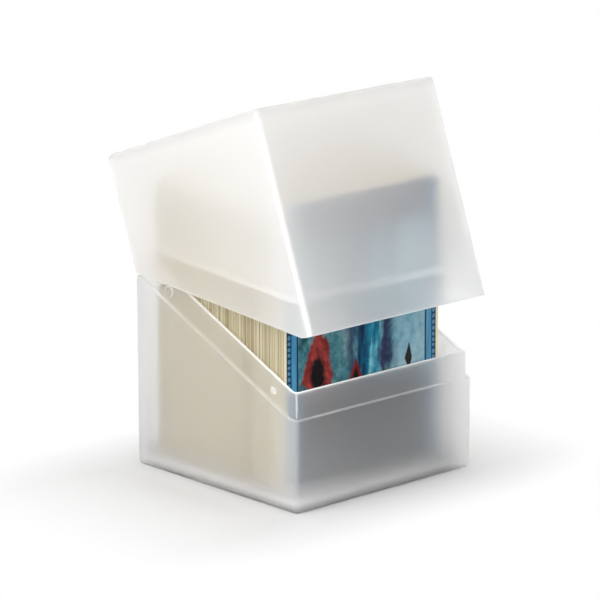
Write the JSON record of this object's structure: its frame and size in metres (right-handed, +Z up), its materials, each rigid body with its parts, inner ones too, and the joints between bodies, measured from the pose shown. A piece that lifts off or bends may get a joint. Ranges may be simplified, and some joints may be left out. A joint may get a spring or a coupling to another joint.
{
  "type": "card deck box",
  "caption": "Frosted plastic deck box with a diagonal seam, a deep lid tilted back on the rear rim, and sleeved cards standing inside.",
  "frame": {"origin": "centre of the base's flat underside", "axes": "+Z up; the low front wall and the lid's opening side face -Y; the rear wall with the lid's turning edge faces +Y; +X to the right seen from the front"},
  "size_m": [0.075, 0.094, 0.1229],
  "materials": {
    "frosted_plastic": "satin",
    "card_face": "satin",
    "card_stock": "matte"
  },
  "bodies": {
    "base": {"base_shell": "frosted_plastic", "card_01": "card_face", "card_02": "card_stock", "card_03": "card_stock", "card_04": "card_stock", "card_05": "card_stock", "card_06": "card_stock", "card_07": "card_stock", "card_08": "card_stock", "card_09": "card_stock", "card_10": "card_stock", "card_11": "card_stock", "card_12": "card_stock", "card_13": "card_stock", "card_14": "card_stock", "card_15": "card_stock", "card_16": "card_stock", "card_17": "card_stock", "card_18": "card_stock", "card_19": "card_stock", "card_20": "card_stock", "card_21": "card_stock", "card_22": "card_stock", "card_23": "card_stock", "card_24": "card_stock", "card_25": "card_stock", "card_26": "card_stock", "card_27": "card_stock", "card_28": "card_stock", "card_29": "card_stock", "card_30": "card_stock", "card_31": "card_stock", "card_32": "card_stock", "card_33": "card_stock", "card_34": "card_stock", "card_35": "card_stock", "card_36": "card_stock", "card_37": "card_stock", "card_38": "card_stock", "card_39": "card_stock", "card_40": "card_stock", "card_41": "card_stock", "card_42": "card_stock", "card_43": "card_stock", "card_44": "card_stock", "card_45": "card_stock", "card_46": "card_stock", "card_47": "card_stock", "card_48": "card_stock"},
    "lid": {"lid_shell": "frosted_plastic"}
  },
  "joints": [
    {"name": "lid_tilt", "type": "hinge", "parent": "base", "child": "lid", "pos_m": [0, 0.03752, 0.0612], "axis": [-1, 0, 0], "range_deg": [-20, 70]}
  ]
}
